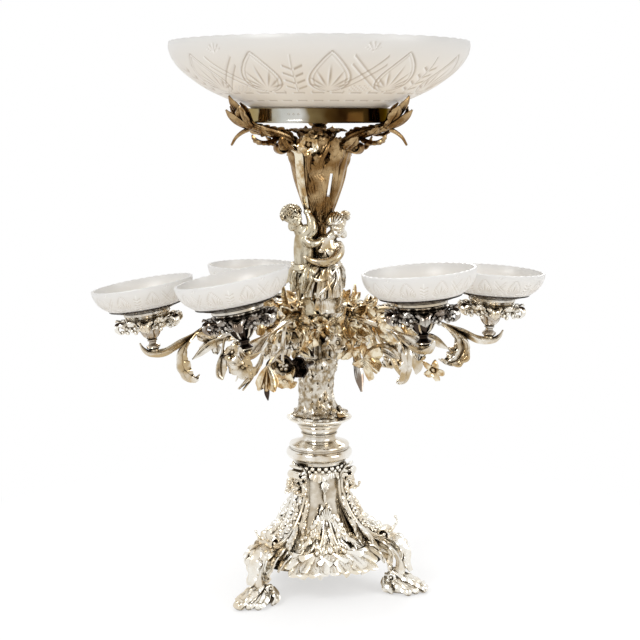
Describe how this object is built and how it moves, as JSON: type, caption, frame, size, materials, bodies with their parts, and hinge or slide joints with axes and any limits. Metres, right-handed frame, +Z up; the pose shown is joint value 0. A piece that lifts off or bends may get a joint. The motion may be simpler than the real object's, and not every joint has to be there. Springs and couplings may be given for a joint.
{
  "type": "table centerpiece",
  "caption": "Tree-stem table centerpiece in silver plate: tripod base, figures, leafy lift-out branches with cups and small cut-glass bowls, and a wide cut-glass bowl on a leafy ring.",
  "frame": {"origin": "on the stem's axis, at the table under the feet", "axes": "+Z up along the stem, -Y towards the front, where the figures face, +X to the right seen from the front"},
  "size_m": [0.5488, 0.5093, 0.6673],
  "materials": {
    "silver": "polished silver plate, toned warm brown in the hollows",
    "tarnished_silver": "silver plate tarnished to brown and gold",
    "steel": "plain turned steel",
    "glass": "frosted cut glass"
  },
  "bodies": {
    "stand": {"base_body": "silver", "base_buttress_1": "silver", "base_buttress_2": "silver", "base_buttress_3": "silver", "base_leg_1": "silver", "base_leg_2": "silver", "base_leg_3": "silver", "base_apron_1": "silver", "base_apron_2": "silver", "base_apron_3": "silver", "pedestal": "silver", "drip_dish": "silver", "trunk": "silver", "branch_hub": "silver", "tie_rod": "steel", "tie_washer": "steel", "tie_nut": "steel", "figure_woman": "silver", "figure_child": "silver", "horn_stem": "tarnished_silver", "bowl_ring": "tarnished_silver", "leaf_claw_1": "tarnished_silver", "leaf_claw_2": "tarnished_silver", "leaf_claw_3": "tarnished_silver"},
    "arm_1": {"branch_1": "silver", "branch_cup_1": "silver", "bowl_plate_1": "silver"},
    "arm_2": {"branch_2": "silver", "branch_cup_2": "silver", "bowl_plate_2": "silver"},
    "arm_3": {"branch_3": "silver", "branch_cup_3": "silver", "bowl_plate_3": "silver"},
    "arm_4": {"branch_4": "silver", "branch_cup_4": "silver", "bowl_plate_4": "silver"},
    "arm_5": {"branch_5": "silver", "branch_cup_5": "silver", "bowl_plate_5": "silver"},
    "arm_6": {"branch_6": "silver", "branch_cup_6": "silver", "bowl_plate_6": "silver"},
    "dish_1": {"small_bowl_1": "glass"},
    "dish_2": {"small_bowl_2": "glass"},
    "dish_3": {"small_bowl_3": "glass"},
    "dish_4": {"small_bowl_4": "glass"},
    "dish_5": {"small_bowl_5": "glass"},
    "dish_6": {"small_bowl_6": "glass"},
    "top_dish": {"large_bowl": "glass"}
  },
  "joints": [
    {"name": "lift_branch_1", "type": "slide", "parent": "stand", "child": "arm_1", "axis": [0, 0, 1], "range_m": [0, 0.018]},
    {"name": "lift_branch_2", "type": "slide", "parent": "stand", "child": "arm_2", "axis": [0, 0, 1], "range_m": [0, 0.018]},
    {"name": "lift_branch_3", "type": "slide", "parent": "stand", "child": "arm_3", "axis": [0, 0, 1], "range_m": [0, 0.018]},
    {"name": "lift_branch_4", "type": "slide", "parent": "stand", "child": "arm_4", "axis": [0, 0, 1], "range_m": [0, 0.018]},
    {"name": "lift_branch_5", "type": "slide", "parent": "stand", "child": "arm_5", "axis": [0, 0, 1], "range_m": [0, 0.018]},
    {"name": "lift_branch_6", "type": "slide", "parent": "stand", "child": "arm_6", "axis": [0, 0, 1], "range_m": [0, 0.018]},
    {"name": "lift_small_bowl_1", "type": "slide", "parent": "arm_1", "child": "dish_1", "axis": [-0.1045, 0, 0.9945], "range_m": [0, 0.03]},
    {"name": "lift_small_bowl_2", "type": "slide", "parent": "arm_2", "child": "dish_2", "axis": [-0.1219, 0, 0.9925], "range_m": [0, 0.03]},
    {"name": "lift_small_bowl_3", "type": "slide", "parent": "arm_3", "child": "dish_3", "axis": [-0.048, 0, 0.9988], "range_m": [0, 0.03]},
    {"name": "lift_small_bowl_4", "type": "slide", "parent": "arm_4", "child": "dish_4", "axis": [0.0401, 0, 0.9992], "range_m": [0, 0.03]},
    {"name": "lift_small_bowl_5", "type": "slide", "parent": "arm_5", "child": "dish_5", "axis": [0, 0, 1], "range_m": [0, 0.03]},
    {"name": "lift_small_bowl_6", "type": "slide", "parent": "arm_6", "child": "dish_6", "axis": [0, 0, 1], "range_m": [0, 0.03]},
    {"name": "lift_large_bowl", "type": "slide", "parent": "stand", "child": "top_dish", "axis": [0, 0, 1], "range_m": [0, 0.05]}
  ]
}
